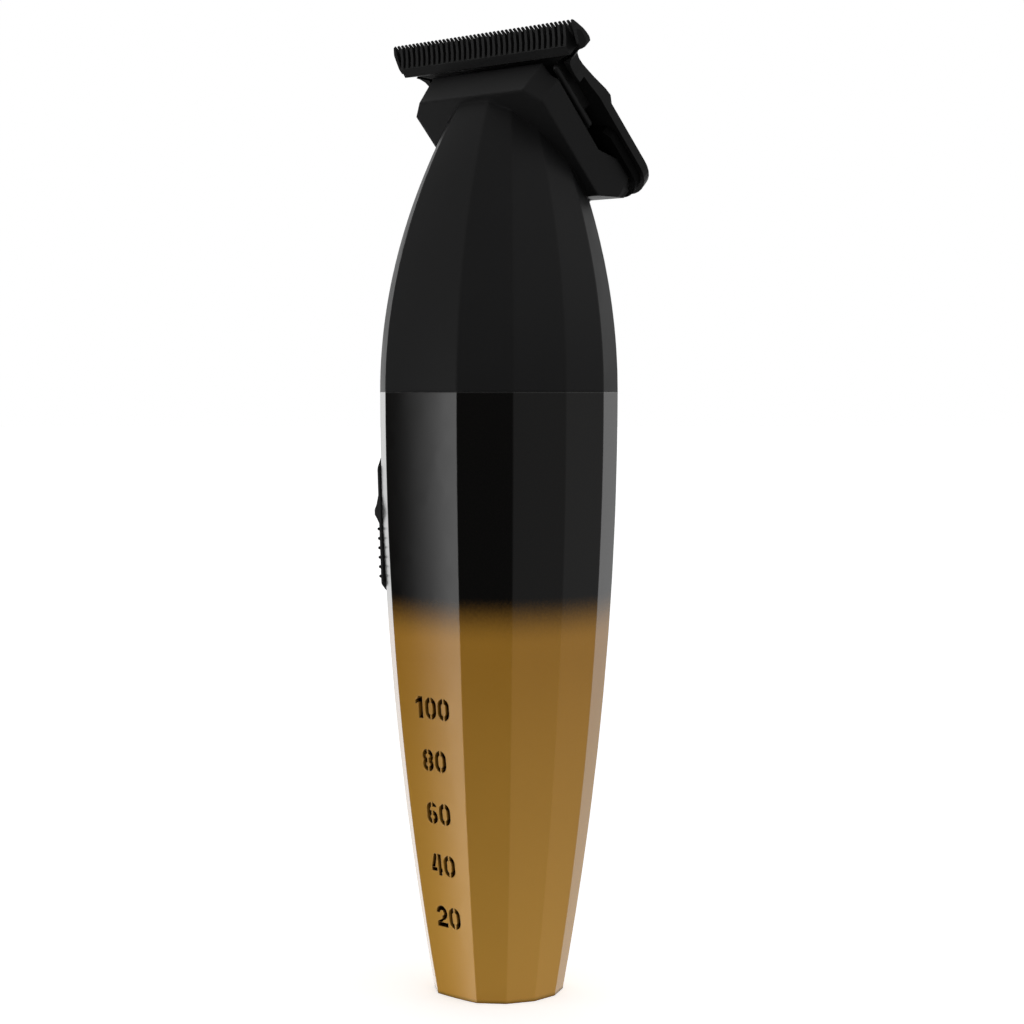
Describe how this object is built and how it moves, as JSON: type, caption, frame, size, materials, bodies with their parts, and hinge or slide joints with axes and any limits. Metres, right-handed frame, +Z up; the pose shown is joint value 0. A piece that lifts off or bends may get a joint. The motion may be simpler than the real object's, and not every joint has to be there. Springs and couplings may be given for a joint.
{
  "type": "cordless beard trimmer",
  "caption": "Slim cordless trimmer with a faceted tapering body, black over gold, a tilted T-shaped blade with fine teeth, a ribbed thumb slider and cut-out charge marks.",
  "frame": {"origin": "centre of the flat foot", "axes": "+Z up along the body towards the blade, -Y is the front facet with the charge marks, X runs along the blade"},
  "size_m": [0.0392, 0.0368, 0.1481],
  "materials": {
    "matte_black_metal": "matte black powder coat",
    "gradient_metal": "gloss black fading to gold lacquer",
    "black_plastic": "moulded black",
    "slider_black": "satin black",
    "frame_plastic": "moulded dark grey",
    "screw_steel": "zinc plated",
    "seal_rubber": "matte",
    "cell_jacket": "shrink sleeve over a metal cell",
    "contact_metal": "nickel plated",
    "board_laminate": "green laminate",
    "component_black": "moulded black",
    "flex_amber": "amber film",
    "led_lens": "clear lens",
    "smoked_window": "smoked translucent plastic",
    "socket_shell": "stamped shell",
    "lead_red": "insulated lead",
    "motor_steel": "plated steel",
    "magnet_grey": "ferrite",
    "bushing_brass": "sintered bronze",
    "core_steel": "laminated steel",
    "winding_copper": "enamelled copper",
    "cam_plastic": "natural acetal",
    "spring_steel": "spring wire",
    "bracket_black": "moulded black",
    "blade_black": "black coated steel",
    "cutter_dark": "black coated steel",
    "blade_screw_black": "black oxide"
  },
  "bodies": {
    "housing": {"head_housing": "matte_black_metal", "lower_housing": "gradient_metal", "base_cap": "black_plastic", "base_screws": "screw_steel", "body_seal": "seal_rubber", "chassis": "frame_plastic", "chassis_screws": "screw_steel", "battery_cell": "cell_jacket", "battery_tabs": "contact_metal", "battery_pad": "seal_rubber", "main_board": "board_laminate", "board_parts": "component_black", "led_strip": "flex_amber", "level_leds": "led_lens", "light_guide": "smoked_window", "charge_socket": "socket_shell", "socket_board": "board_laminate", "switch_unit": "component_black", "switch_board": "board_laminate", "power_leads": "lead_red", "motor_can": "motor_steel", "motor_magnets": "magnet_grey", "motor_end_cap": "black_plastic", "motor_terminals": "contact_metal", "motor_brushes": "contact_metal", "motor_bushings": "bushing_brass", "motor_bracket": "frame_plastic", "motor_screws": "screw_steel", "tension_spring": "spring_steel", "blade_bracket": "bracket_black", "fixed_blade": "blade_black", "blade_screws": "blade_screw_black"},
    "rotor": {"rotor_core": "core_steel", "rotor_windings": "winding_copper", "commutator": "winding_copper", "motor_shaft": "motor_steel", "eccentric_cam": "cam_plastic", "cam_bearing": "motor_steel"},
    "cutter": {"moving_blade": "cutter_dark", "drive_arm": "cam_plastic"},
    "switch": {"switch_button": "slider_black", "switch_stem": "black_plastic", "switch_knob": "slider_black"}
  },
  "joints": [
    {"name": "rotor_spin", "type": "hinge", "parent": "housing", "child": "rotor", "pos_m": [0, 0, 0.1], "axis": [0, 0, 1], "continuous": true},
    {"name": "cutter_slide", "type": "slide", "parent": "housing", "child": "cutter", "axis": [1, 0, 0], "range_m": [-0.0008, 0.0008]},
    {"name": "switch_slide", "type": "slide", "parent": "housing", "child": "switch", "axis": [-0.0311, -0.0153, 0.9994], "range_m": [0, 0.004]}
  ]
}
